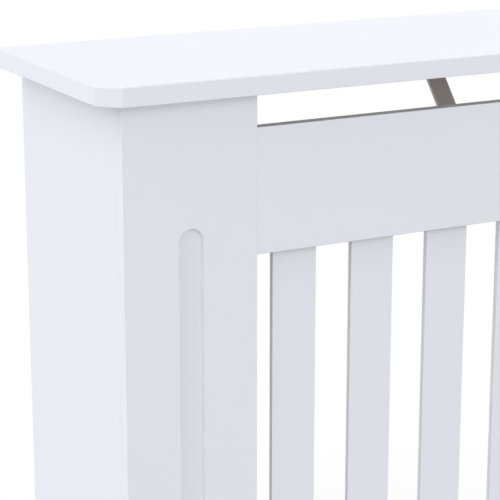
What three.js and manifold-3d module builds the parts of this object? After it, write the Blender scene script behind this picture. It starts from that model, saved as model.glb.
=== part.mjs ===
// A radiator cover cabinet: an open-backed box of painted board with a slatted front.
// Millimetres, +Z up. The front faces -Y, the wall is at the +Y side, and the origin lies on the floor
// under the middle of the top board.
import * as THREE from "three";
import { mergeVertices } from "three/addons/utils/BufferGeometryUtils.js";
import Module from "manifold-3d";

// Overall size
const coverWidth = 1120;
const coverDepth = 190;
const coverHeight = 815;

// Top board
const topThickness = 13.3;
const topCornerClip = 13.3;
const sideOverhang = 19;
const frontOverhang = 16;

// Side panels
const sideThickness = 12;
const skirtingNotchHeight = 100;
const skirtingNotchDepth = 20;

// Posts and rails, cut from one thin board
const frontThickness = 8.7;
const postWidth = 99;
const ventGap = 24.6;
const upperRailHeight = 87.7;
const lowerRailHeight = 87.7;
const floorGap = 70;

// The flute routed down each post
const fluteWidth = 17.8;
const fluteDepth = 3;
const fluteEndInset = 88.6;
const fluteCornerRadius = 1.2;

// Slats, fixed to the backs of the rails
const slatWidth = 34.3;
const slatThickness = 4.3;
const slatSpacing = 28.5;
const slatToPost = 16.6;
const slatLap = 75;

// Battens in the front corners
const battenSize = 18;
const battenEndInset = 12;
const battenScrewInset = 90;
const battenScrewCount = 3;

// Cleats behind the seams between posts and rails
const cleatThickness = 9;
const cleatPostLap = 34;
const cleatToSlat = 2.6;
const cleatEndInset = 10;

// Angle brackets under the top board, against the side panels
const bracketThickness = 2;
const bracketLeg = 26;
const bracketWidth = 18;
const bracketBendRadius = 1.5;
const bracketHoleInset = 9;
const bracketFromPost = 50;
const bracketFromBack = 30;

// Wall brackets under the back edge of the top board
const wallBracketLeg = 30;
const wallBracketWidth = 20;
const wallBracketFromSide = 262;
const wallHoleRadius = 2.75;

// Knee struts, folded from flat bar
const strutWidth = 15.5;
const strutThickness = 2.5;
const strutAngle = 50.1;
const strutTab = 18;
const strutFootInset = 6;
const strutBendRadius = 2;
const strutFromSlat = 2.5;
const slatsBeforeStrut = 3;

// Screws
const screwRadius = 1.75;
const screwPointLength = 3;
const headRadius = 3.5;
const headRimHeight = 0.9;
const headHeight = 2.3;
const tipCover = 1.7;
const holeClearance = 0.3;
const roundSides = 12;

// Eased edges
const topUpperEase = 1.8;
const boardEase = 0.35;
const easeSteps = 2;
const bendSteps = 6;
const drillOverrun = 1;

// Places worked out from the sizes above, for the left end. The right end is its mirror image.
const underTop = coverHeight - topThickness;
const backFace = coverDepth / 2;
const frontFace = -backFace + frontOverhang;
const frontBack = frontFace + frontThickness;
const sideOuter = -coverWidth / 2 + sideOverhang;
const sideInner = sideOuter + sideThickness;
const postInner = sideOuter + postWidth;
const battenInner = sideInner + battenSize;
const battenBack = frontBack + battenSize;
const upperRailTop = underTop - ventGap;
const upperRailBottom = upperRailTop - upperRailHeight;
const lowerRailTop = floorGap + lowerRailHeight;
const wallBracketX = sideInner + wallBracketFromSide;

// Slats fill the width between the posts as evenly as whole slats allow.
const slatField = -2 * (postInner + slatToPost);
const slatCount = Math.round((slatField + slatSpacing) / (slatWidth + slatSpacing));
const slatPitch = (slatField - slatWidth) / (slatCount - 1);
const firstSlat = postInner + slatToPost;
const slatBottom = lowerRailTop - slatLap;
const slatTop = upperRailBottom + slatLap;

// The strut's foot lies on the back of the upper rail, close beside the last slat before it.
const edgeBeforeStrut = firstSlat + (slatsBeforeStrut - 1) * slatPitch + slatWidth;
const strutX = edgeBeforeStrut + strutFromSlat + strutWidth / 2;

// ---------------------------------------------------------------- finishes

function finish(color, roughness, metalness) {
  return new THREE.MeshStandardMaterial({ color, roughness, metalness });
}

const whitePaint = finish(0xeff2f9, 0.45, 0);
const bareWood = finish(0xc9ab7c, 0.7, 0);
const greySteel = finish(0x8c847e, 0.5, 0.7);
const zincSteel = finish(0xb9bcc0, 0.35, 0.9);

// ---------------------------------------------------------------- solids

const wasm = await Module();
wasm.setup();

function toSolid(geometry) {
  const bare = geometry.clone();
  bare.deleteAttribute("normal");
  bare.deleteAttribute("uv");
  const merged = mergeVertices(bare, 1e-4);
  const triVerts = merged.index.array;
  const vertProperties = merged.attributes.position.array;
  return new wasm.Manifold(new wasm.Mesh({ numProp: 3, vertProperties, triVerts }));
}

function toGeometry(solid) {
  const mesh = solid.getMesh();
  const geometry = new THREE.BufferGeometry();
  geometry.setAttribute("position", new THREE.BufferAttribute(mesh.vertProperties, 3));
  geometry.setIndex(new THREE.BufferAttribute(mesh.triVerts, 1));
  const flat = geometry.toNonIndexed();
  flat.computeVertexNormals();
  return flat;
}

function cut(geometry, cutters) {
  if (cutters.length === 0) return geometry;
  let solid = toSolid(geometry);
  for (const cutter of cutters) {
    solid = solid.subtract(toSolid(cutter));
  }
  return toGeometry(solid);
}

// An outline is drawn in one of three planes and extruded square to it: a level board upwards,
// a front board towards the viewer and a side board towards +X.
const axisX = new THREE.Vector3(1, 0, 0);
const axisY = new THREE.Vector3(0, 1, 0);
const axisZ = new THREE.Vector3(0, 0, 1);
const level = new THREE.Matrix4();
const facingFront = new THREE.Matrix4().makeBasis(axisX, axisZ, axisY.clone().negate());
const facingSide = new THREE.Matrix4().makeBasis(axisY, axisZ, axisX);

function rectangle(x0, y0, x1, y1) {
  const corners = [[x0, y0], [x1, y0], [x1, y1], [x0, y1]];
  return new THREE.Shape(corners.map(([x, y]) => new THREE.Vector2(x, y)));
}

// A board with its long edges eased, its back (or lower, or left) face at zero.
function board(outline, thickness, ease, plane) {
  const geometry = new THREE.ExtrudeGeometry(outline, {
    depth: thickness - 2 * ease,
    bevelThickness: ease,
    bevelSize: ease,
    bevelOffset: -ease,
    bevelSegments: easeSteps,
  });
  geometry.translate(0, 0, ease);
  return geometry.applyMatrix4(plane);
}

function block(size) {
  return new THREE.BoxGeometry(size.x, size.y, size.z);
}

function squareTo(run) {
  return new THREE.Vector2(-run.y, run.x);
}

// The points along the middle of a folded strip, each with the way across the strip there. The path's
// straight runs meet in round bends.
function bentPath(path, radius) {
  const points = path.map(([x, y]) => new THREE.Vector2(x, y));
  const runs = points.slice(1).map((point, i) => point.clone().sub(points[i]).normalize());
  const stations = [{ place: points[0], across: squareTo(runs[0]) }];
  for (let i = 1; i < runs.length; i += 1) {
    const before = squareTo(runs[i - 1]);
    const bend = Math.atan2(runs[i - 1].cross(runs[i]), runs[i - 1].dot(runs[i]));
    const turn = Math.sign(bend);
    const centre = points[i].clone()
      .addScaledVector(runs[i - 1], -radius * Math.tan(Math.abs(bend) / 2))
      .addScaledVector(before, turn * radius);
    for (let step = 0; step <= bendSteps; step += 1) {
      const across = before.clone().rotateAround(new THREE.Vector2(), (bend * step) / bendSteps);
      stations.push({ place: centre.clone().addScaledVector(across, -turn * radius), across });
    }
  }
  stations.push({ place: points.at(-1), across: squareTo(runs.at(-1)) });
  return stations;
}

// A folded strip of the given width, its side view extruded along X and centred there.
function foldedStrip(path, thickness, insideRadius, width) {
  const half = thickness / 2;
  const stations = bentPath(path, insideRadius + half);
  const oneSide = stations.map(({ place, across }) => place.clone().addScaledVector(across, half));
  const otherSide = stations.map(({ place, across }) => place.clone().addScaledVector(across, -half));
  const sideView = new THREE.Shape([...oneSide, ...otherSide.reverse()]);
  const geometry = new THREE.ExtrudeGeometry(sideView, { depth: width, bevelEnabled: false });
  geometry.translate(0, 0, -width / 2);
  return geometry.applyMatrix4(facingSide);
}

// ---------------------------------------------------------------- screws

// A pan-head screw along its own axis: the seat of its head at zero and its point below.
function screwGeometry(length) {
  const profile = [
    new THREE.Vector2(0, -length),
    new THREE.Vector2(screwRadius, -length + screwPointLength),
    new THREE.Vector2(screwRadius, 0),
    new THREE.Vector2(headRadius, 0),
    new THREE.Vector2(headRadius, headRimHeight),
    new THREE.Vector2(headRadius * 0.7, headHeight * 0.87),
    new THREE.Vector2(0, headHeight),
  ];
  return new THREE.LatheGeometry(profile, roundSides);
}

// Where a screw sits: the middle of its head's seat, and the way that it is driven.
function screwPlace(seat, into, length) {
  return { seat: new THREE.Vector3(...seat), into: new THREE.Vector3(...into), length };
}

function turnTowards(direction) {
  return new THREE.Quaternion().setFromUnitVectors(axisY, direction.clone().negate());
}

function screwMesh(place, name) {
  const mesh = new THREE.Mesh(screwGeometry(place.length), zincSteel);
  mesh.position.copy(place.seat);
  mesh.quaternion.copy(turnTowards(place.into));
  mesh.name = name;
  return mesh;
}

// The hole that a screw passes through and bites into, open at the head and a little deeper than its point.
function screwHole(place) {
  const depth = place.length + holeClearance;
  const hole = new THREE.CylinderGeometry(
    screwRadius + holeClearance,
    screwRadius + holeClearance,
    depth + drillOverrun,
    roundSides,
  );
  hole.translate(0, (drillOverrun - depth) / 2, 0);
  hole.applyQuaternion(turnTowards(place.into));
  return hole.translate(place.seat.x, place.seat.y, place.seat.z);
}

function mirrored(place) {
  const flip = new THREE.Vector3(-1, 1, 1);
  return {
    seat: place.seat.clone().multiply(flip),
    into: place.into.clone().multiply(flip),
    length: place.length,
  };
}

function holesFor(places) {
  return places.map(screwHole);
}

function holesAtBothEnds(places) {
  return holesFor([...places, ...places.map(mirrored)]);
}

// Through the corner batten, from behind, into the post.
const battenScrews = [];
for (let i = 0; i < battenScrewCount; i += 1) {
  const z = battenScrewInset + (i * (underTop - 2 * battenScrewInset)) / (battenScrewCount - 1);
  const length = battenSize + frontThickness - tipCover;
  battenScrews.push(screwPlace([(sideInner + battenInner) / 2, battenBack, z], [0, -1, 0], length));
}

// Through the cleats into the rail ends.
const cleatRailLap = slatToPost - cleatToSlat;
const cleatScrewX = postInner + cleatRailLap / 2;
const cleats = [
  { name: "lower", bottom: floorGap + cleatEndInset, top: lowerRailTop - cleatEndInset },
  { name: "upper", bottom: upperRailBottom + cleatEndInset, top: upperRailTop - cleatEndInset },
];
for (const cleat of cleats) {
  cleat.screw = screwPlace(
    [cleatScrewX, frontBack + cleatThickness, (cleat.bottom + cleat.top) / 2],
    [0, -1, 0],
    cleatThickness + frontThickness - tipCover,
  );
}

// Through the angle brackets, up into the top board and sideways into the side panel.
const bracketPlaces = [
  { name: "front", y: frontBack + bracketFromPost },
  { name: "rear", y: backFace - bracketFromBack },
];
const bracketHole = bracketLeg - bracketHoleInset;
for (const place of bracketPlaces) {
  const legBelow = underTop - bracketThickness;
  const legBeside = sideInner + bracketThickness;
  place.topScrew = screwPlace(
    [sideInner + bracketHole, place.y, legBelow],
    [0, 0, 1],
    bracketThickness + topThickness - tipCover,
  );
  place.sideScrew = screwPlace(
    [legBeside, place.y, underTop - bracketHole],
    [-1, 0, 0],
    bracketThickness + sideThickness - tipCover,
  );
}

// Through the wall bracket up into the top board. Its other hole is for a screw into the wall.
const wallHole = wallBracketLeg - bracketHoleInset;
const wallBracketScrew = screwPlace(
  [wallBracketX, backFace - wallHole, underTop - bracketThickness],
  [0, 0, 1],
  bracketThickness + topThickness - tipCover,
);

// The strut's path is the middle of its thickness: up the back of the rail, back and up, then level.
const strutSlope = THREE.MathUtils.degToRad(strutAngle);
const strutFootY = frontBack + strutThickness / 2;
const strutFootZ = upperRailBottom + strutFootInset;
const strutKneeZ = strutFootZ + strutTab;
const strutHeadZ = underTop - strutThickness / 2;
const strutHeadY = strutFootY + (strutHeadZ - strutKneeZ) / Math.tan(strutSlope);
const strutPath = [
  [strutFootY, strutFootZ],
  [strutFootY, strutKneeZ],
  [strutHeadY, strutHeadZ],
  [strutHeadY + strutTab, strutHeadZ],
];
const strutScrews = [
  screwPlace(
    [strutX, frontBack + strutThickness, strutFootZ + strutTab / 2],
    [0, -1, 0],
    strutThickness + frontThickness - tipCover,
  ),
  screwPlace(
    [strutX, strutHeadY + strutTab / 2, underTop - strutThickness],
    [0, 0, 1],
    strutThickness + topThickness - tipCover,
  ),
];

// ---------------------------------------------------------------- pieces

function mesh(name, geometry, material) {
  const made = new THREE.Mesh(geometry, material);
  made.name = name;
  return made;
}

function topBoard() {
  const halfWidth = coverWidth / 2;
  const outline = new THREE.Shape([
    new THREE.Vector2(-halfWidth, backFace),
    new THREE.Vector2(-halfWidth, -backFace + topCornerClip),
    new THREE.Vector2(-halfWidth + topCornerClip, -backFace),
    new THREE.Vector2(halfWidth - topCornerClip, -backFace),
    new THREE.Vector2(halfWidth, -backFace + topCornerClip),
    new THREE.Vector2(halfWidth, backFace),
  ]);
  // The upper edge is rounded more than the lower one, so the board is what two blanks share:
  // one with soft edges that reaches below it, and one with crisp edges that reaches above it.
  const spare = 4 * topUpperEase;
  const softEdged = board(outline, topThickness + spare, topUpperEase, level).translate(0, 0, -spare);
  const crispEdged = board(outline, topThickness + spare, boardEase, level);
  const plain = toGeometry(toSolid(softEdged).intersect(toSolid(crispEdged))).translate(0, 0, underTop);
  const intoTop = [...bracketPlaces.map((place) => place.topScrew), wallBracketScrew, strutScrews[1]];
  return mesh("top_board", cut(plain, holesAtBothEnds(intoTop)), whitePaint);
}

function sidePanel() {
  const notchFace = backFace - skirtingNotchDepth;
  const outline = new THREE.Shape([
    new THREE.Vector2(frontBack, 0),
    new THREE.Vector2(notchFace, 0),
    new THREE.Vector2(notchFace, skirtingNotchHeight),
    new THREE.Vector2(backFace, skirtingNotchHeight),
    new THREE.Vector2(backFace, underTop),
    new THREE.Vector2(frontBack, underTop),
  ]);
  const plain = board(outline, sideThickness, boardEase, facingSide).translate(sideOuter, 0, 0);
  const intoSide = bracketPlaces.map((place) => place.sideScrew);
  return cut(plain, holesFor(intoSide));
}

// A post with a round-ended flute down the middle of its front face.
function post() {
  const outline = rectangle(sideOuter, 0, postInner, underTop);
  const plain = board(outline, frontThickness, boardEase, facingFront).translate(0, frontBack, 0);
  const radius = fluteWidth / 2;
  const middle = (sideOuter + postInner) / 2;
  const slot = new THREE.Shape();
  slot.absarc(middle, underTop - fluteEndInset - radius, radius, 0, Math.PI, false);
  slot.absarc(middle, fluteEndInset + radius, radius, Math.PI, 2 * Math.PI, false);
  const cutter = new THREE.ExtrudeGeometry(slot, {
    depth: fluteDepth,
    bevelThickness: fluteCornerRadius,
    bevelSize: fluteCornerRadius,
    bevelOffset: -fluteCornerRadius,
    bevelSegments: easeSteps,
    curveSegments: roundSides,
  });
  cutter.translate(0, 0, fluteCornerRadius);
  cutter.applyMatrix4(facingFront).translate(0, frontFace + fluteDepth, 0);
  return cut(plain, [cutter, ...holesFor(battenScrews)]);
}

function rail(name, bottom, height, places) {
  const outline = rectangle(postInner, bottom, -postInner, bottom + height);
  const plain = board(outline, frontThickness, boardEase, facingFront).translate(0, frontBack, 0);
  return mesh(name, cut(plain, holesAtBothEnds(places)), whitePaint);
}

function slats() {
  const group = new THREE.Group();
  const outline = rectangle(0, slatBottom, slatWidth, slatTop);
  const geometry = board(outline, slatThickness, boardEase, facingFront);
  for (let i = 0; i < slatCount; i += 1) {
    const slat = mesh(`slat_${String(i + 1).padStart(2, "0")}`, geometry, whitePaint);
    slat.position.set(firstSlat + i * slatPitch, frontBack + slatThickness, 0);
    group.add(slat);
  }
  return group;
}

function cornerBatten() {
  const length = underTop - 2 * battenEndInset;
  const plain = block(new THREE.Vector3(battenSize, battenSize, length));
  plain.translate((sideInner + battenInner) / 2, (frontBack + battenBack) / 2, underTop / 2);
  return cut(plain, holesFor(battenScrews));
}

function cleatBlock(cleat) {
  const size = new THREE.Vector3(cleatPostLap + cleatRailLap, cleatThickness, cleat.top - cleat.bottom);
  const plain = block(size);
  plain.translate(
    postInner + (cleatRailLap - cleatPostLap) / 2,
    frontBack + cleatThickness / 2,
    (cleat.top + cleat.bottom) / 2,
  );
  return cut(plain, holesFor([cleat.screw]));
}

// An equal-legged angle, its corner at the back and top: one leg hangs down, the other runs forward.
function angle(leg, width) {
  const middle = bracketThickness / 2;
  const path = [[-middle, -leg], [-middle, -middle], [-leg, -middle]];
  return foldedStrip(path, bracketThickness, bracketBendRadius, width);
}

function angleBracket(place) {
  const plain = angle(bracketLeg, bracketWidth);
  plain.rotateZ(Math.PI / 2).translate(sideInner, place.y, underTop);
  return cut(plain, holesFor([place.topScrew, place.sideScrew]));
}

function wallBracket() {
  const plain = angle(wallBracketLeg, wallBracketWidth).translate(wallBracketX, backFace, underTop);
  const wallScrewHole = new THREE.CylinderGeometry(
    wallHoleRadius,
    wallHoleRadius,
    bracketThickness + 2 * drillOverrun,
    roundSides,
  );
  wallScrewHole.translate(wallBracketX, backFace - bracketThickness / 2, underTop - wallHole);
  return cut(plain, [wallScrewHole, ...holesFor([wallBracketScrew])]);
}

function kneeStrut() {
  const plain = foldedStrip(strutPath, strutThickness, strutBendRadius, strutWidth);
  return cut(plain.translate(strutX, 0, 0), holesFor(strutScrews));
}

// Everything that one end of the cover has and the other has as its mirror image.
function endAssembly(side) {
  const group = new THREE.Group();
  group.add(mesh(`side_panel_${side}`, sidePanel(), whitePaint));
  group.add(mesh(`post_${side}`, post(), whitePaint));
  group.add(mesh(`corner_batten_${side}`, cornerBatten(), bareWood));
  battenScrews.forEach((place, i) => group.add(screwMesh(place, `batten_screw_${side}_${i + 1}`)));
  for (const cleat of cleats) {
    group.add(mesh(`cleat_${cleat.name}_${side}`, cleatBlock(cleat), bareWood));
    group.add(screwMesh(cleat.screw, `cleat_screw_${cleat.name}_${side}`));
  }
  for (const place of bracketPlaces) {
    group.add(mesh(`angle_bracket_${place.name}_${side}`, angleBracket(place), zincSteel));
    group.add(screwMesh(place.topScrew, `angle_screw_top_${place.name}_${side}`));
    group.add(screwMesh(place.sideScrew, `angle_screw_side_${place.name}_${side}`));
  }
  group.add(mesh(`wall_bracket_${side}`, wallBracket(), zincSteel));
  group.add(screwMesh(wallBracketScrew, `wall_bracket_screw_${side}`));
  group.add(mesh(`knee_strut_${side}`, kneeStrut(), greySteel));
  group.add(screwMesh(strutScrews[0], `strut_screw_rail_${side}`));
  group.add(screwMesh(strutScrews[1], `strut_screw_top_${side}`));
  return group;
}

const cover = new THREE.Group();
const leftEnd = endAssembly("left");
const rightEnd = endAssembly("right");
rightEnd.scale.x = -1;
const grille = new THREE.Group();
const upperRailScrews = [cleats[1].screw, strutScrews[0]];
grille.add(rail("upper_rail", upperRailBottom, upperRailHeight, upperRailScrews));
grille.add(rail("lower_rail", floorGap, lowerRailHeight, [cleats[0].screw]));
grille.add(slats());
cover.add(topBoard(), leftEnd, rightEnd, grille);

export default cover;
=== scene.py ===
import math
import bmesh
import bpy
from mathutils import Matrix, Vector


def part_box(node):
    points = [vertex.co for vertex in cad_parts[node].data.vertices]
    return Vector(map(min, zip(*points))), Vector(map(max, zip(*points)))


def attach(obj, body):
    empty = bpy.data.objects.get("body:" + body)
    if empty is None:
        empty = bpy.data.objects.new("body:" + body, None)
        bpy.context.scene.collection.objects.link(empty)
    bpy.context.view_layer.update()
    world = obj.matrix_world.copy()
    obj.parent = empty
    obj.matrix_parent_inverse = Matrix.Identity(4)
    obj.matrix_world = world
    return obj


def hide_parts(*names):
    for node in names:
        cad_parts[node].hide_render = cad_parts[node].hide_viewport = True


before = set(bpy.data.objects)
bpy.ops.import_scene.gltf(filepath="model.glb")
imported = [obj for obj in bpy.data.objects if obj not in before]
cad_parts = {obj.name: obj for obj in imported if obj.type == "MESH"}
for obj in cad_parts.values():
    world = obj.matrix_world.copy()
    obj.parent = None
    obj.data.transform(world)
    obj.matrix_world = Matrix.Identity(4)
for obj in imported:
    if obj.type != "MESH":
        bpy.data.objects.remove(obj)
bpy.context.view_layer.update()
mm = 0.001
hair = 0.01 * mm  # closer than this counts as the same place
cover = {name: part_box(name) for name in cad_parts}
sides = {"left": -1, "right": 1}
slatNodes = sorted(name for name in cover if name.startswith("slat_"))
print("frame loaded:", len(cover), "pieces")


# small helpers for meshes

def linkObject(name, data):
    made = bpy.data.objects.new(name, data)
    bpy.context.scene.collection.objects.link(made)
    return made


def finishMesh(bm, name, materials):
    bmesh.ops.recalc_face_normals(bm, faces=bm.faces)
    mesh = bpy.data.meshes.new(name)
    bm.to_mesh(mesh)
    bm.free()
    for material in materials:
        mesh.materials.append(material)
    return linkObject(name, mesh)


def standFor(piece, slot, *nodes):
    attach(piece, "root")
    if nodes:
        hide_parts(*nodes)
    return piece


def applied(piece):  # what the modifiers make, as a plain mesh
    graph = bpy.context.evaluated_depsgraph_get()
    mesh = bpy.data.meshes.new_from_object(piece.evaluated_get(graph), depsgraph=graph)
    piece.modifiers.clear()
    old = piece.data
    piece.data = mesh
    bpy.data.meshes.remove(old)
    mesh.name = piece.name
    return piece


smoothing = {"easeAbove": 50, "flatWeight": 100, "fixings": 40}  # angles in degrees
drillSides = 40


def smoothAll(piece):
    for polygon in piece.data.polygons:
        polygon.use_smooth = True


def smoothUpTo(piece, degrees):
    smoothAll(piece)
    piece.data.set_sharp_from_angle(angle=math.radians(degrees))
    return piece


def rounded(piece, width, steps):
    smoothAll(piece)
    ease = piece.modifiers.new("ease", "BEVEL")
    ease.width = width
    ease.segments = steps
    ease.limit_method = "ANGLE"
    ease.angle_limit = math.radians(smoothing["easeAbove"])
    weigh = piece.modifiers.new("weigh", "WEIGHTED_NORMAL")
    weigh.mode = "FACE_AREA"
    weigh.weight = smoothing["flatWeight"]
    return applied(piece)


def cutAway(piece, cutter):
    cut = piece.modifiers.new("cut", "BOOLEAN")
    cut.operation = "DIFFERENCE"
    cut.solver = "EXACT"
    cut.object = cutter
    applied(piece)
    bpy.data.objects.remove(cutter)
    return piece


def drilled(piece, holes):
    for place, along, radius, depth in holes:
        bm = bmesh.new()
        size = {"radius1": radius, "radius2": radius, "depth": depth}
        bmesh.ops.create_cone(bm, cap_ends=True, segments=drillSides, **size)
        turn = Vector((0, 0, 1)).rotation_difference(along).to_matrix().to_4x4()
        bm.transform(Matrix.Translation(place) @ turn)
        cutAway(piece, finishMesh(bm, "drill", []))
    return piece


# finishes, all on Object coordinates

def newMaterial(name):
    material = bpy.data.materials.new(name)
    material.use_nodes = True
    tree = material.node_tree
    return material, tree, tree.nodes["Principled BSDF"]


def addNode(tree, kind, links=(), **settings):
    node = tree.nodes.new(kind)
    for name, value in settings.items():
        setattr(node, name, value)
    for socket, source in dict(links).items():
        if isinstance(source, bpy.types.NodeSocket):
            tree.links.new(source, node.inputs[socket])
        else:
            node.inputs[socket].default_value = source
    return node


def addNoise(tree, vector, scale, detail):
    given = {"Vector": vector, "Scale": scale, "Detail": detail}
    return addNode(tree, "ShaderNodeTexNoise", given).outputs["Fac"]


def addRange(tree, value, low, high, fromLow=0.3, fromHigh=0.7):
    given = {
        "Value": value, "From Min": fromLow, "From Max": fromHigh, "To Min": low, "To Max": high,
    }
    return addNode(tree, "ShaderNodeMapRange", given).outputs["Result"]


def addMix(tree, factor, first, second):
    given = {"Factor": factor, "A": (*first, 1), "B": (*second, 1)}
    return addNode(tree, "ShaderNodeMix", given, data_type="RGBA").outputs["Result"]


def addBump(tree, height, distance):
    given = {"Height": height, "Distance": distance}
    return addNode(tree, "ShaderNodeBump", given).outputs["Normal"]


def objectPlace(tree, scale=(1, 1, 1), shift=(0, 0, 0)):
    place = addNode(tree, "ShaderNodeTexCoord")
    given = {"Vector": place.outputs["Object"], "Scale": scale, "Location": shift}
    return addNode(tree, "ShaderNodeMapping", given).outputs["Vector"]


def feed(tree, shader, sources):
    for name, source in sources.items():
        tree.links.new(source, shader.inputs[name])


paintLooks = {
    "sprayedFace": {
        "light": (0.840, 0.864, 0.920), "dark": (0.828, 0.853, 0.911), "cloud": 6.0,
        "specular": 0.35, "rough": (0.52, 0.6), "peel": 620.0, "peelHeight": 0.02 * mm,
    },
    # a shade lighter than the faces: a painted highlight; the rougher, coarser peel is the edges'
    # own
    "sprayedEdge": {
        "light": (0.850, 0.874, 0.930), "dark": (0.838, 0.863, 0.921), "cloud": 6.0,
        "specular": 0.3, "rough": (0.6, 0.7), "peel": 1700.0, "peelHeight": 0.045 * mm,
    },
    "softArris": {  # painted shade on the top board's rounded edge, to damp the lamps' highlight
        "light": (0.795, 0.818, 0.872), "dark": (0.785, 0.808, 0.864), "cloud": 6.0,
        "specular": 0.3, "rough": (0.6, 0.7), "peel": 1700.0, "peelHeight": 0.03 * mm,
    },
    "routedFlute": {  # painted shade: darker than the face for the shade in the recess; rougher
        "light": (0.80, 0.822, 0.875), "dark": (0.788, 0.81, 0.863), "cloud": 6.0,
        "specular": 0.3, "rough": (0.62, 0.72), "peel": 1200.0, "peelHeight": 0.035 * mm,
    },
    "sawnEdge": {  # painted shade: the rails' upward and downward faces, dark grey
        "light": (0.465, 0.460, 0.450), "dark": (0.415, 0.410, 0.400), "cloud": 60.0,
        "specular": 0.1, "rough": (0.85, 0.92), "peel": 1500.0, "peelHeight": 0.09 * mm,
    },
    "thinEdge": {  # painted shade: the slats' edges, darker for the shade between the slats
        "light": (0.775, 0.785, 0.815), "dark": (0.735, 0.74, 0.76), "cloud": 60.0,
        "specular": 0.1, "rough": (0.82, 0.9), "peel": 1500.0, "peelHeight": 0.07 * mm,
    },
}


paintNoise = {"cloudDetail": 3, "peelDetail": 2, "mottle": 40.0, "mottleDetail": 4}


def sprayedPaint(name):
    look, noise = paintLooks[name], paintNoise
    material, tree, shader = newMaterial(name)
    shader.inputs["Specular IOR Level"].default_value = look["specular"]
    place = objectPlace(tree)
    cloud = addNoise(tree, place, look["cloud"], noise["cloudDetail"])
    peel = addNoise(tree, place, look["peel"], noise["peelDetail"])
    mottle = addNoise(tree, place, noise["mottle"], noise["mottleDetail"])
    feed(tree, shader, {
        "Base Color": addMix(tree, addRange(tree, cloud, 0, 1), look["light"], look["dark"]),
        "Normal": addBump(tree, peel, look["peelHeight"]),
        "Roughness": addRange(tree, mottle, *look["rough"]),
    })
    return material


woodLook = {
    "early": (0.74, 0.58, 0.385),
    "late": (0.64, 0.47, 0.29),
    "rough": (0.6, 0.75),
    "ringGap": 2.3 * mm,
    "ringDetail": 2.5,
    "stretch": 0.02,
    "waver": 26.0,  # how far the rings stray, and how broadly
    "waverScale": 0.3,
    "lateStart": 0.45,  # the share of a year's ring before it darkens
    "streakScale": 1500.0,
    "streakDetail": 3,
    "streak": 0.22,
    "poreHeight": 0.05 * mm,
}


waveTurn = 20  # the wave node's radians for each unit of its scale


def planedWood(name, heart):  # grain along Z, its rings round the heart
    look = woodLook
    material, tree, shader = newMaterial(name)
    place = objectPlace(tree, (1, 1, look["stretch"]), (-heart[0], -heart[1], 0))
    rings = addNode(tree, "ShaderNodeTexWave", {
        "Vector": place, "Scale": 2 * math.pi / (waveTurn * look["ringGap"]),
        "Distortion": look["waver"], "Detail": look["ringDetail"],
        "Detail Scale": look["waverScale"],
    }, wave_type="RINGS", rings_direction="Z", wave_profile="SAW")
    late = addRange(tree, rings.outputs["Fac"], 0, 1 - look["streak"], look["lateStart"], 1)
    fibre = addNoise(tree, place, look["streakScale"], look["streakDetail"])
    streak = addRange(tree, fibre, 0, look["streak"])
    tone = addNode(tree, "ShaderNodeMath", {0: late, 1: streak}, operation="ADD")
    feed(tree, shader, {
        "Base Color": addMix(tree, tone.outputs["Value"], look["early"], look["late"]),
        "Normal": addBump(tree, fibre, look["poreHeight"]),
        "Roughness": addRange(tree, fibre, *look["rough"]),
    })
    return material


steelLooks = {
    "satinStrut": {
        "light": (0.408, 0.355, 0.313), "dark": (0.378, 0.327, 0.286),
        "metallic": 0.35, "rough": (0.42, 0.52), "stretch": (1, 1, 1),
    },
    "brightZinc": {
        "light": (0.72, 0.735, 0.76), "dark": (0.65, 0.665, 0.69),
        "metallic": 1.0, "rough": (0.27, 0.36), "stretch": (1, 1, 1),
    },
    "stapleWire": {
        "light": (0.66, 0.63, 0.57), "dark": (0.50, 0.47, 0.42),
        "metallic": 1.0, "rough": (0.3, 0.42), "stretch": (0.1, 1, 1),
    },
}


steelGrain = {"scale": 420, "detail": 3, "fineness": 4, "height": 0.01 * mm}


def coatedSteel(name):
    look, grain = steelLooks[name], steelGrain
    material, tree, shader = newMaterial(name)
    shader.inputs["Metallic"].default_value = look["metallic"]
    place = objectPlace(tree, look["stretch"])
    spangle = addNoise(tree, place, grain["scale"], grain["detail"])
    fine = addNoise(tree, place, grain["scale"] * grain["fineness"], grain["detail"])
    feed(tree, shader, {
        "Base Color": addMix(tree, addRange(tree, spangle, 0, 1), look["light"], look["dark"]),
        "Normal": addBump(tree, fine, grain["height"]),
        "Roughness": addRange(tree, fine, *look["rough"]),
    })
    return material


facePaint, edgePaint, arrisShadePaint, fluteShadePaint, railShadePaint, slatEdgeShade = [
    sprayedPaint(name) for name in paintLooks
]
satinStrut, brightZinc, stapleWire = [coatedSteel(name) for name in steelLooks]
print("finishes made")


# boards

arris = {
    "crisp": 0.5 * mm, "seam": 0.9 * mm, "soft": 1.3 * mm, "slat": 0.35 * mm,
    "crispSteps": 3, "softSteps": 6, "slatSteps": 3, "sharpAbove": 35,
}
roundProfile = 0.5
edgeFacing = 0.5  # an edge's normal has less than this along the board's thickness
edgeSlot, extraSlot = 1, 2  # extra: the shaded soft arris, the rails' shaded edges or the shaded flute
planes = {  # an outline's own x and y, and the way that it is extruded
    "level": Matrix.Identity(3),
    "front": Matrix(((1, 0, 0), (0, 0, -1), (0, 1, 0))),
    "side": Matrix(((0, 0, 1), (1, 0, 0), (0, 1, 0))),
}


def prism(outline, low, high, plane):
    bm = bmesh.new()
    turn = planes[plane]
    lower = [bm.verts.new(turn @ Vector((x, y, low))) for x, y in outline]
    upper = [bm.verts.new(turn @ Vector((x, y, high))) for x, y in outline]
    bm.faces.new(lower[::-1])
    bm.faces.new(upper)
    for i in range(len(outline)):
        bm.faces.new((lower[i - 1], lower[i], upper[i], upper[i - 1]))
    bmesh.ops.recalc_face_normals(bm, faces=bm.faces)
    return bm


def paintEdges(bm, plane):  # what the outline's sides became
    across = planes[plane] @ Vector((0, 0, 1))
    for face in bm.faces:
        if abs(face.normal.dot(across)) < edgeFacing:
            face.material_index = edgeSlot


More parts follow.
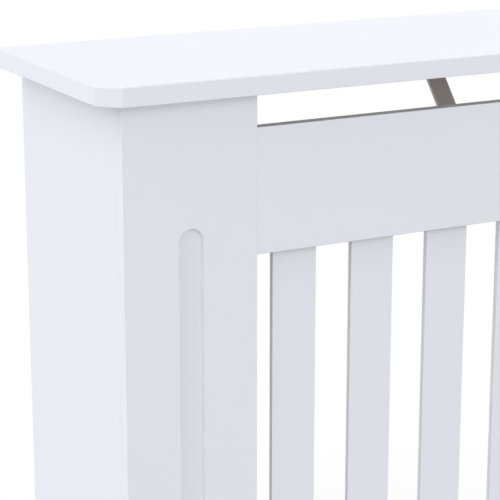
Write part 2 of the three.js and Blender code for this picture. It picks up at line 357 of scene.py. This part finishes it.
def easeEdges(bm, edges, width, steps, slot=edgeSlot):
    size = {"offset": width, "segments": steps, "profile": roundProfile}
    made = bmesh.ops.bevel(bm, geom=edges, affect="EDGES", **size)
    for face in made["faces"]:
        face.smooth = True
        face.material_index = slot


def easedBoard(name, outline, low, high, plane, softTop=False, ease="crisp"):
    bm = prism(outline, low, high, plane)
    paintEdges(bm, plane)
    crisp = list(bm.edges)
    paints = [facePaint, edgePaint]
    if softTop:
        upper = [e for e in bm.edges if all(abs(v.co.z - high) < hair for v in e.verts)]
        # the rounded upper edge gets the darker painted shade
        easeEdges(bm, upper, arris["soft"], arris["softSteps"], slot=extraSlot)
        sharp = math.radians(arris["sharpAbove"])
        crisp = [e for e in bm.edges if e.calc_face_angle(0) > sharp]
        paints.append(arrisShadePaint)
    easeEdges(bm, crisp, arris[ease], arris["crispSteps"])
    return finishMesh(bm, name, paints)


def box(x0, y0, x1, y1):
    return [(x0, y0), (x1, y0), (x1, y1), (x0, y1)]


topEdge = {"clip": 13.3 * mm}


def topBoard():
    low, high = cover["top_board"]
    clip = topEdge["clip"]
    outline = [
        (low.x, high.y), (low.x, low.y + clip), (low.x + clip, low.y),
        (high.x - clip, low.y), (high.x, low.y + clip), (high.x, high.y),
    ]
    return easedBoard("topBoard", outline, low.z, high.z, "level", softTop=True)


skirtingNotch = {"depth": 20 * mm, "height": 100 * mm}


def sidePanel(side):
    low, high = cover["side_panel_" + side]
    back = high.y - skirtingNotch["depth"]
    step = low.z + skirtingNotch["height"]
    outline = [
        (low.y, low.z), (back, low.z), (back, step),
        (high.y, step), (high.y, high.z), (low.y, high.z),
    ]
    return easedBoard("sidePanel." + side, outline, low.x, high.x, "side", ease="seam")


railShadeFacing = {"up": 0.3, "down": 0.9}  # how far a rail's face turns to get its painted shade


def railBoard(name, node):
    low, high = cover[node]
    rail = easedBoard(name, box(low.x, low.z, high.x, high.z), -high.y, -low.y, "front")
    rail.data.materials.append(railShadePaint)
    # the upward and downward faces get the dark painted shade
    for polygon in rail.data.polygons:
        if polygon.normal.z > railShadeFacing["up"] or -polygon.normal.z > railShadeFacing["down"]:
            polygon.material_index = extraSlot
    return rail


standFor(topBoard(), "white_paint", "top_board")
for side in sides:
    standFor(sidePanel(side), "white_paint", "side_panel_" + side)
standFor(railBoard("upperRail", "upper_rail"), "white_paint", "upper_rail")
standFor(railBoard("lowerRail", "lower_rail"), "white_paint", "lower_rail")
print("boards made")


# posts with their flutes

flute = {
    "mouth": 18.8 * mm, "depth": 3 * mm, "endInset": 88.1 * mm, "slope": 72,
    "lip": 0.8 * mm, "corner": 1.4 * mm, "arcSteps": 24, "roundSteps": 5,
}


def fluteRing(middle, low, high, radius):  # a round-ended slot, seen from the front
    steps = flute["arcSteps"]
    ring = []
    for centre, start in ((high, 0), (low, math.pi)):
        for i in range(steps + 1):
            turn = start + math.pi * i / steps
            ring.append((middle + radius * math.cos(turn), centre + radius * math.sin(turn)))
    return ring


def fluteProfile():  # inward of the mouth, and depth below the face: lip, sloping wall, corner
    steps, lip, corner, depth = flute["roundSteps"], flute["lip"], flute["corner"], flute["depth"]
    slope = math.radians(flute["slope"])
    turns = [slope * i / steps for i in range(steps + 1)]
    wall = depth - (lip + corner) * (1 - math.cos(slope))
    span = (lip + corner) * math.sin(slope) + wall / math.tan(slope)
    rim = [(lip * math.sin(turn), lip * (1 - math.cos(turn))) for turn in turns]
    foot = [
        (span - corner * math.sin(turn), depth - corner * (1 - math.cos(turn))) for turn in turns
    ]
    return rim + foot[::-1]


def flutedPost(side):
    low, high = cover["post_" + side]
    bm = prism(box(low.x, low.z, high.x, high.z), -high.y, -low.y, "front")
    paintEdges(bm, "front")
    easeEdges(bm, list(bm.edges), arris["crisp"], arris["crispSteps"])
    front = min(bm.faces, key=lambda face: face.normal.y - face.calc_area())
    border = list(front.edges)
    bmesh.ops.delete(bm, geom=[front], context="FACES_ONLY")
    middle = (low.x + high.x) / 2
    radius = flute["mouth"] / 2
    ends = (low.z + flute["endInset"] + radius, high.z - flute["endInset"] - radius)
    rings = []
    for inward, depth in fluteProfile():
        ring = fluteRing(middle, *ends, radius - inward)
        rings.append([bm.verts.new((x, low.y + depth, z)) for x, z in ring])
    for outer, inner in zip(rings, rings[1:]):
        for i in range(len(outer)):
            wall = bm.faces.new((outer[i - 1], outer[i], inner[i], inner[i - 1]))
            wall.smooth = True
            # the flute's walls and floor get the darker painted shade
            wall.material_index = extraSlot
    bm.faces.new(rings[-1]).material_index = extraSlot
    mouth = [bm.edges.get((rings[0][i - 1], rings[0][i])) for i in range(len(rings[0]))]
    bmesh.ops.triangle_fill(bm, edges=border + mouth, use_beauty=True)
    return finishMesh(bm, "flutedPost." + side, [facePaint, edgePaint, fluteShadePaint])


for side in sides:
    standFor(flutedPost(side), "white_paint", "post_" + side)
print("posts made")


# Geometry Nodes helpers

def newTree(name, inputs):
    tree = bpy.data.node_groups.new(name, "GeometryNodeTree")
    for way in ("OUTPUT", "INPUT"):
        tree.interface.new_socket(name="Geometry", in_out=way, socket_type="NodeSocketGeometry")
    kinds = {
        float: "Float", int: "Int", tuple: "Vector",
        bpy.types.Material: "Material", bpy.types.Object: "Object",
    }
    sockets = {}
    for label, value in inputs.items():
        kind = "NodeSocket" + kinds[type(value)]
        socket = tree.interface.new_socket(name=label, in_out="INPUT", socket_type=kind)
        sockets[label] = socket.identifier
    given = tree.nodes.new("NodeGroupInput")
    return tree, given, sockets


def useTree(piece, tree, sockets, inputs):
    modifier = piece.modifiers.new(tree.name, "NODES")
    modifier.node_group = tree
    for label, value in inputs.items():
        modifier[sockets[label]] = value
    return applied(piece)


# slats

slatFacing = {"arris": (0.02, 0.999), "end": 0.5}  # normals across and along the slat


def slatTree(inputs):
    tree, given, sockets = newTree("slatRow", inputs)
    size = given.outputs
    outline = addNode(tree, "GeometryNodeCurvePrimitiveQuadrilateral", {
        "Width": size["Width"], "Height": size["Thickness"],
    })
    eased = addNode(tree, "GeometryNodeFilletCurve", {
        "Curve": outline.outputs["Curve"], "Radius": size["Arris"], "Count": size["Arris Steps"],
    }, mode="POLY")
    foot = addNode(tree, "GeometryNodeFillCurve", {"Curve": eased.outputs["Curve"]}, mode="NGONS")
    upward = addNode(tree, "ShaderNodeCombineXYZ", {"Z": size["Length"]})
    raised = addNode(tree, "GeometryNodeExtrudeMesh", {
        "Mesh": foot.outputs["Mesh"], "Offset": upward.outputs["Vector"], "Individual": False,
    }, mode="FACES")
    turned = addNode(tree, "GeometryNodeFlipFaces", {"Mesh": foot.outputs["Mesh"]})
    closed = addNode(tree, "GeometryNodeJoinGeometry", {"Geometry": raised.outputs["Mesh"]})
    tree.links.new(turned.outputs["Mesh"], closed.inputs["Geometry"])
    slat = addNode(tree, "GeometryNodeMergeByDistance", {
        "Geometry": closed.outputs["Geometry"], "Distance": hair,
    })
    row = addNode(tree, "GeometryNodeMeshLine", {
        "Count": size["Count"], "Start Location": size["First"], "Offset": size["Step"],
    })
    placed = addNode(tree, "GeometryNodeInstanceOnPoints", {
        "Points": row.outputs["Mesh"], "Instance": slat.outputs["Geometry"],
    })
    real = addNode(tree, "GeometryNodeRealizeInstances", {"Geometry": placed.outputs["Instances"]})
    faces = addNode(tree, "GeometryNodeSetMaterial", {
        "Geometry": real.outputs["Geometry"], "Material": size["Face"],
    })
    normal = addNode(tree, "GeometryNodeInputNormal")
    facing = addNode(tree, "ShaderNodeSeparateXYZ", {"Vector": normal.outputs["Normal"]})
    away = addNode(tree, "ShaderNodeMath", {0: facing.outputs["Y"]}, operation="ABSOLUTE")
    sideways = addNode(tree, "FunctionNodeCompare", {
        0: away.outputs["Value"], 1: edgeFacing,
    }, operation="LESS_THAN")
    edges = addNode(tree, "GeometryNodeSetMaterial", {
        "Geometry": faces.outputs["Geometry"],
        "Selection": sideways.outputs["Result"],
        "Material": size["Edge"],
    })
    addNode(tree, "NodeGroupOutput", {"Geometry": edges.outputs["Geometry"]})
    return tree, sockets


def slatRow():
    low, high = cover[slatNodes[0]]
    inputs = {
        "Count": len(slatNodes),
        "First": ((low.x + high.x) / 2, (low.y + high.y) / 2, low.z),
        "Step": (cover[slatNodes[1]][0].x - low.x, 0.0, 0.0),
        "Width": high.x - low.x,
        "Thickness": high.y - low.y,
        "Length": high.z - low.z,
        "Arris": arris["slat"],
        "Arris Steps": arris["slatSteps"],
        "Face": facePaint,
        # the slats' edges get the darker painted shade
        "Edge": slatEdgeShade,
    }
    piece = linkObject("slats", bpy.data.meshes.new("slats"))
    useTree(piece, *slatTree(inputs), inputs)
    least, most = slatFacing["arris"]
    for polygon in piece.data.polygons:  # only the eased corners are smooth
        turned = least < abs(polygon.normal.x) < most
        polygon.use_smooth = turned and abs(polygon.normal.z) < slatFacing["end"]
    return standFor(piece, "white_paint", *slatNodes)


slatRow()
print("slats made")


# folded metal: struts, angle brackets and wall brackets

stripEnd = {"sameLength": 0.001 * mm, "sharpAbove": 1.0}  # picks out its corners; angle in radians


def bentPath(corners, radius, steps):  # the strip's middle, with the way across it
    points = [Vector(corner) for corner in corners]
    runs = [(b - a).normalized() for a, b in zip(points, points[1:])]

    def across(run):
        return Vector((-run.y, run.x))

    path = [(points[0], across(runs[0]))]
    for corner, run, following in zip(points[1:], runs, runs[1:]):
        bend = math.atan2(run.cross(following), run.dot(following))
        side = math.copysign(1, bend)
        start = corner - run * radius * math.tan(abs(bend) / 2)
        centre = start + across(run) * radius * side
        for i in range(steps + 1):
            way = Matrix.Rotation(bend * i / steps, 2) @ across(run)
            path.append((centre - way * radius * side, way))
    path.append((points[-1], across(runs[-1])))
    return path


def foldedStrip(name, corners, look, plane, low, high, material):
    half = look["thickness"] / 2
    path = bentPath(corners, look["bend"] + half, look["bendSteps"])
    outline = [point + way * half for point, way in path]
    outline += [point - way * half for point, way in reversed(path)]
    bm = prism(outline, low, high, plane)
    ends = [
        edge for edge in bm.edges
        if abs(edge.calc_length() - look["thickness"]) < stripEnd["sameLength"]
        and edge.calc_face_angle(0) > stripEnd["sharpAbove"]
    ]
    size = {"offset": look["endRadius"], "segments": look["endSteps"], "profile": roundProfile}
    bmesh.ops.bevel(bm, geom=ends, affect="EDGES", **size)
    return finishMesh(bm, name, [material])


bracketLook = {
    "thickness": 2 * mm, "bend": 1.5 * mm, "bendSteps": 8, "endRadius": 3 * mm, "endSteps": 6,
    "hole": 2.05 * mm, "drill": 60 * mm,
    "wallHole": 2.75 * mm, "wallHoleDrop": 21 * mm, "wallDrill": 10 * mm,
    "ease": 0.25 * mm, "easeSteps": 2,
}
strutLook = {
    "thickness": 2.5 * mm, "bend": 2 * mm, "bendSteps": 8, "endRadius": 2.5 * mm, "endSteps": 5,
    "tab": 18 * mm, "hole": 2.05 * mm, "drill": 60 * mm, "ease": 0.3 * mm, "easeSteps": 2,
}


def middleOf(node):
    low, high = cover[node]
    return (low + high) / 2


def screwHole(node, along, look):  # where a screw passes through the strip
    return (middleOf(node), Vector(along), look["hole"], look["drill"])


def angleBracket(place, side):
    look = bracketLook
    low, high = cover[f"angle_bracket_{place}_{side}"]
    middle = look["thickness"] / 2
    inner, outer = (high.x, low.x + middle) if side == "left" else (low.x, high.x - middle)
    corners = [(outer, low.z), (outer, high.z - middle), (inner, high.z - middle)]
    name = f"angleBracket.{place}.{side}"
    piece = foldedStrip(name, corners, look, "front", -high.y, -low.y, brightZinc)
    drilled(piece, [
        screwHole(f"angle_screw_top_{place}_{side}", (0, 0, 1), look),
        screwHole(f"angle_screw_side_{place}_{side}", (1, 0, 0), look),
    ])
    return rounded(piece, look["ease"], look["easeSteps"])


def wallBracket(side):
    look = bracketLook
    low, high = cover["wall_bracket_" + side]
    middle = look["thickness"] / 2
    back, top = high.y - middle, high.z - middle
    corners = [(back, low.z), (back, top), (low.y, top)]
    piece = foldedStrip("wallBracket." + side, corners, look, "side", low.x, high.x, brightZinc)
    wallHole = Vector(((low.x + high.x) / 2, high.y, high.z - look["wallHoleDrop"]))
    drilled(piece, [
        screwHole("wall_bracket_screw_" + side, (0, 0, 1), look),
        (wallHole, Vector((0, 1, 0)), look["wallHole"], look["wallDrill"]),
    ])
    return rounded(piece, look["ease"], look["easeSteps"])


def kneeStrut(side):
    look = strutLook
    low, high = cover["knee_strut_" + side]
    foot, head = low.y + look["thickness"] / 2, high.z - look["thickness"] / 2
    lower, upper = low.z + look["tab"], high.y - look["tab"]
    corners = [(foot, low.z), (foot, lower), (upper, head), (high.y, head)]
    piece = foldedStrip("kneeStrut." + side, corners, look, "side", low.x, high.x, satinStrut)
    drilled(piece, [
        screwHole("strut_screw_rail_" + side, (0, 1, 0), look),
        screwHole("strut_screw_top_" + side, (0, 0, 1), look),
    ])
    return rounded(piece, look["ease"], look["easeSteps"])


for side in sides:
    for place in ("front", "rear"):
        standFor(angleBracket(place, side), "zinc_steel", f"angle_bracket_{place}_{side}")
    standFor(wallBracket(side), "zinc_steel", "wall_bracket_" + side)
    standFor(kneeStrut(side), "strut_steel", "knee_strut_" + side)
print("folded metal made")


# battens and cleats

timber = {"ease": 0.9 * mm, "easeSteps": 3, "heartAway": (28 * mm, 34 * mm)}


def timberPiece(name, node, material):
    low, high = cover[node]
    bm = prism(box(low.x, low.y, high.x, high.y), low.z, high.z, "level")
    return rounded(finishMesh(bm, name, [material]), timber["ease"], timber["easeSteps"])


for side, way in sides.items():
    low, high = cover["corner_batten_" + side]
    awayX, awayY = timber["heartAway"]
    heart = ((low.x + high.x) / 2 - way * awayX, high.y + awayY)
    wood = planedWood("planedPine." + side, heart)
    lengths = {
        "cornerBatten." + side: "corner_batten_" + side,
        "cleat.lower." + side: "cleat_lower_" + side,
        "cleat.upper." + side: "cleat_upper_" + side,
    }
    for name, node in lengths.items():
        standFor(timberPiece(name, node, wood), "bare_wood", node)
print("timber made")


# screws and staples, set by one tree

screwLook = {
    "headRadius": 3.5 * mm, "headHeight": 2.3 * mm, "rimHeight": 0.7 * mm,
    "domeSteps": 6, "domePower": 0.6,
    "core": 1.25 * mm, "crest": 0.5 * mm, "crestHalf": 0.25, "crestRunout": 1.4,
    "pitch": 1.4 * mm, "point": 3 * mm, "neck": 1.2 * mm, "sides": 20, "rowsPerTurn": 5,
    "recessSpan": 2.0 * mm, "recessWidth": 0.5 * mm, "recessDepth": 1.5 * mm, "recessTaper": 0.6,
}


def screwRows(length):  # each ring's height, radius and thread, from the head to the point
    look = screwLook
    rows = []
    for i in range(1, look["domeSteps"] + 1):
        lift = 0.5 * math.pi * (1 - i / look["domeSteps"])
        radius = look["headRadius"] * math.cos(lift) ** look["domePower"]
        height = look["rimHeight"] + (look["headHeight"] - look["rimHeight"]) * math.sin(lift)
        rows.append((height, radius, 0))
    rows += [(0, look["headRadius"], 0), (0, look["core"], 0), (-look["neck"], look["core"], 0)]
    step = look["pitch"] / look["rowsPerTurn"]
    for i in range(1, int((length - look["neck"]) / step)):
        depth = look["neck"] + i * step
        taper = min(1, (length - depth) / look["point"])
        crest = look["crest"] * min(taper * look["crestRunout"], 1)
        rows.append((-depth, look["core"] * taper, crest))
    return rows


def screwBlank(length):
    look = screwLook
    bm = bmesh.new()
    top = bm.verts.new((0, 0, look["headHeight"]))
    rings = []
    for height, radius, crest in screwRows(length):
        ring = []
        for i in range(look["sides"]):
            turn = 2 * math.pi * i / look["sides"]
            phase = (height / look["pitch"] + i / look["sides"]) % 1
            reach = radius + crest * max(0, 1 - abs(phase - 0.5) / look["crestHalf"])
            ring.append(bm.verts.new((reach * math.cos(turn), reach * math.sin(turn), height)))
        rings.append(ring)
    tip = bm.verts.new((0, 0, -length))
    for i in range(look["sides"]):
        bm.faces.new((top, rings[0][i - 1], rings[0][i]))
        bm.faces.new((tip, rings[-1][i], rings[-1][i - 1]))
        for upper, lower in zip(rings, rings[1:]):
            bm.faces.new((upper[i - 1], upper[i], lower[i], lower[i - 1]))
    return finishMesh(bm, "screwBlank", [brightZinc])


def crossRecess():
    look = screwLook
    span, width, taper = look["recessSpan"], look["recessWidth"], look["recessTaper"]
    corner = [(width, span), (width, width), (span, width)]
    outline = []
    for quarter in range(4):
        spin = Matrix.Rotation(-0.5 * math.pi * quarter, 2)
        outline += [spin @ Vector(point) for point in corner]
    floor, above = look["headHeight"] - look["recessDepth"], look["headHeight"] + look["neck"]
    bm = prism(outline, floor, above, "level")
    for vert in bm.verts:
        if vert.co.z < look["headHeight"]:
            vert.co.x *= taper
            vert.co.y *= taper
    return finishMesh(bm, "crossRecess", [])


def panHeadScrew(length):
    return smoothUpTo(cutAway(screwBlank(length), crossRecess()), smoothing["fixings"])


stapleLook = {
    "thickness": 0.6 * mm, "bend": 0.25 * mm, "bendSteps": 3, "endRadius": 0.15 * mm, "endSteps": 1,
    "crown": 10.5 * mm, "leg": 9 * mm, "wireWidth": 1.2 * mm, "proud": 0.3 * mm,
    "insets": (19 * mm, 54 * mm), "mostTurn": 0.07, "seed": 11,
}


def crownStaple():
    look = stapleLook
    half = look["crown"] / 2
    crown = look["proud"] - look["thickness"] / 2
    corners = [(-half, -look["leg"]), (-half, crown), (half, crown), (half, -look["leg"])]
    width = look["wireWidth"] / 2
    wire = foldedStrip("stapleBlank", corners, look, "front", -width, width, stapleWire)
    return smoothUpTo(wire, smoothing["fixings"])


def fixingTree(inputs):  # a fixing at each point, its head along "outward", turned at random
    tree, given, sockets = newTree("setFixings", inputs)
    most = given.outputs["Most Turn"]
    outward = addNode(tree, "GeometryNodeInputNamedAttribute", {
        "Name": "outward",
    }, data_type="FLOAT_VECTOR")
    least = addNode(tree, "ShaderNodeMath", {0: most, 1: -1.0}, operation="MULTIPLY")
    spin = addNode(tree, "FunctionNodeRandomValue", {
        2: least.outputs["Value"], 3: most, "Seed": given.outputs["Seed"],
    }, data_type="FLOAT")
    turn = addNode(tree, "ShaderNodeCombineXYZ", {"Z": spin.outputs[1]})
    spun = addNode(tree, "FunctionNodeEulerToRotation", {"Euler": turn.outputs["Vector"]})
    aimed = addNode(tree, "FunctionNodeAlignRotationToVector", {
        "Vector": outward.outputs["Attribute"],
    }, axis="Z")
    both = addNode(tree, "FunctionNodeRotateRotation", {
        "Rotation": aimed.outputs["Rotation"], "Rotate By": spun.outputs["Rotation"],
    }, rotation_space="LOCAL")
    fixing = addNode(tree, "GeometryNodeObjectInfo", {"Object": given.outputs["Fixing"]})
    placed = addNode(tree, "GeometryNodeInstanceOnPoints", {
        "Points": given.outputs["Geometry"], "Instance": fixing.outputs["Geometry"],
        "Rotation": both.outputs["Rotation"],
    })
    real = addNode(tree, "GeometryNodeRealizeInstances", {"Geometry": placed.outputs["Instances"]})
    dressed = addNode(tree, "GeometryNodeSetMaterial", {
        "Geometry": real.outputs["Geometry"], "Material": given.outputs["Finish"],
    })
    addNode(tree, "NodeGroupOutput", {"Geometry": dressed.outputs["Geometry"]})
    return tree, sockets


def setFixings(name, fixing, spots, mostTurn, seed, finish):
    mesh = bpy.data.meshes.new(name)
    mesh.from_pydata([place for place, outward in spots], [], [])
    outwards = mesh.attributes.new("outward", "FLOAT_VECTOR", "POINT")
    for i, (place, outward) in enumerate(spots):
        outwards.data[i].vector = outward
    inputs = {"Fixing": fixing, "Most Turn": mostTurn, "Seed": seed, "Finish": finish}
    piece = useTree(linkObject(name, mesh), *fixingTree(inputs), inputs)
    bpy.data.objects.remove(fixing)
    return piece


screwWays = {  # where each kind's head faces; None is towards the cover's middle
    "batten_screw": (0, 1, 0), "cleat_screw": (0, 1, 0), "angle_screw_top": (0, 0, -1),
    "angle_screw_side": None, "wall_bracket_screw": (0, 0, -1),
    "strut_screw_rail": (0, 1, 0), "strut_screw_top": (0, 0, -1),
}


def screwSpot(node, outward):
    low, high = cover[node]
    if outward is None:
        outward = (-math.copysign(1, low.x), 0, 0)
    outward = Vector(outward)
    reach = abs((high - low).dot(outward)) / 2
    seat = (low + high) / 2 + outward * (reach - screwLook["headHeight"])
    return (seat, outward), 2 * reach - screwLook["headHeight"]


for seed, (kind, outward) in enumerate(screwWays.items()):
    nodes = [name for name in cover if name.startswith(kind)]
    found = [screwSpot(node, outward) for node in nodes]
    words = kind.split("_")
    name = words[0] + "".join(word.capitalize() for word in words[1:]) + "s"
    spots = [spot for spot, length in found]
    screws = setFixings(name, panHeadScrew(found[0][1]), spots, math.pi, seed, brightZinc)
    standFor(smoothUpTo(screws, smoothing["fixings"]), "zinc_steel", *nodes)

stapleSpots = []
for name in slatNodes:
    low, high = cover[name]
    for inset in stapleLook["insets"]:
        for height in (low.z + inset, high.z - inset):
            place = Vector(((low.x + high.x) / 2, high.y, height))
            stapleSpots.append((place, Vector((0, 1, 0))))
mostTurn, seed = stapleLook["mostTurn"], stapleLook["seed"]
staples = setFixings("slatStaples", crownStaple(), stapleSpots, mostTurn, seed, stapleWire)
standFor(smoothUpTo(staples, smoothing["fixings"]), "zinc_steel")
print("screws and staples set")


# floor, light and camera

studio = {
    "ambient": 0.6,
    "floorBounce": (0.43, 0.43, 0.43),
    "floorShown": (0.95, 0.95, 0.95),
    "floorRough": 0.9,
    "floorHalf": 20.0,
    "floorDrop": 0.3 * mm,
    "shadowReach": 0.75,
    "whiteReach": 1.2,
    "white": 1.0,
    "lamps": {
        "front": {"turn": 0, "rise": 17, "softness": 36, "strength": 0.89},
        "leftFront": {"turn": -65, "rise": 20, "softness": 40, "strength": 0.26},
        "left": {"turn": -100, "rise": 48, "softness": 50, "strength": 0.92},
        "leftBack": {"turn": -132, "rise": 8, "softness": 30, "strength": 0.77},
        "right": {"turn": 105, "rise": 24, "softness": 50, "strength": 0.72},
    },
}


def whiteRays(tree):  # 1 for the rays that see the background itself
    rays = addNode(tree, "ShaderNodeLightPath")
    total = rays.outputs["Is Camera Ray"]
    for label in ("Is Glossy Ray", "Is Transmission Ray"):
        given = {0: total, 1: rays.outputs[label]}
        total = addNode(tree, "ShaderNodeMath", given, operation="MAXIMUM").outputs["Value"]
    return total


def mixShaders(tree, factor, first, second):
    return addNode(tree, "ShaderNodeMixShader", {0: factor, 1: first, 2: second}).outputs["Shader"]


def makeSky():
    world = bpy.data.worlds.new("studio")
    bpy.context.scene.world = world
    world.use_nodes = True
    tree = world.node_tree
    tree.nodes.clear()
    ambient, white = [
        addNode(tree, "ShaderNodeBackground", {"Color": (1, 1, 1, 1), "Strength": studio[name]})
        for name in ("ambient", "white")
    ]
    shown = mixShaders(tree, whiteRays(tree), ambient.outputs[0], white.outputs[0])
    addNode(tree, "ShaderNodeOutputWorld", {"Surface": shown})


def makeFloor():
    material, tree, shader = newMaterial("studioFloor")
    shader.inputs["Roughness"].default_value = studio["floorRough"]
    shader.inputs["Specular IOR Level"].default_value = 0.0
    seen = whiteRays(tree)
    colour = addMix(tree, seen, studio["floorBounce"], studio["floorShown"])
    feed(tree, shader, {"Base Color": colour})
    place = addNode(tree, "ShaderNodeTexCoord").outputs["Object"]
    reach = addNode(tree, "ShaderNodeVectorMath", {0: place}, operation="LENGTH").outputs["Value"]
    away = addRange(tree, reach, 0, 1, studio["shadowReach"], studio["whiteReach"])
    fade = addNode(tree, "ShaderNodeMath", {0: away, 1: seen}, operation="MULTIPLY")
    white = addNode(tree, "ShaderNodeEmission", {"Strength": studio["white"]})
    shown = mixShaders(tree, fade.outputs[0], shader.outputs[0], white.outputs[0])
    tree.links.new(shown, tree.nodes["Material Output"].inputs["Surface"])
    bm = bmesh.new()
    bmesh.ops.create_grid(bm, x_segments=1, y_segments=1, size=studio["floorHalf"])
    bmesh.ops.translate(bm, verts=bm.verts, vec=(0, 0, -studio["floorDrop"]))
    finishMesh(bm, "studioFloor", [material])


def makeLamps():
    for name, lamp in studio["lamps"].items():
        light = bpy.data.lights.new(name, "SUN")
        light.energy = lamp["strength"]
        light.angle = math.radians(lamp["softness"])
        turn, rise = math.radians(lamp["turn"]), math.radians(lamp["rise"])
        level = math.cos(rise)
        towards = Vector((math.sin(turn) * level, -math.cos(turn) * level, math.sin(rise)))
        linkObject(name, light).rotation_euler = towards.to_track_quat("Z", "Y").to_euler()


photoView = {
    "place": (-1.0204, -1.1575, 1.0222),
    "turn": 27.97,
    "tilt": 15.07,
    "lens": 135.0,
    "sensor": 36.0,
}


def makeCamera():
    view = photoView
    camera = bpy.data.cameras.new("photoView")
    camera.sensor_width = view["sensor"]
    camera.lens = view["lens"]
    holder = linkObject("photoView", camera)
    holder.location = view["place"]
    holder.rotation_euler = (math.radians(90 - view["tilt"]), 0, math.radians(-view["turn"]))
    bpy.context.scene.camera = holder


makeSky()
makeFloor()
makeLamps()
makeCamera()
bpy.context.scene.view_settings.view_transform = "Standard"
print("studio ready")
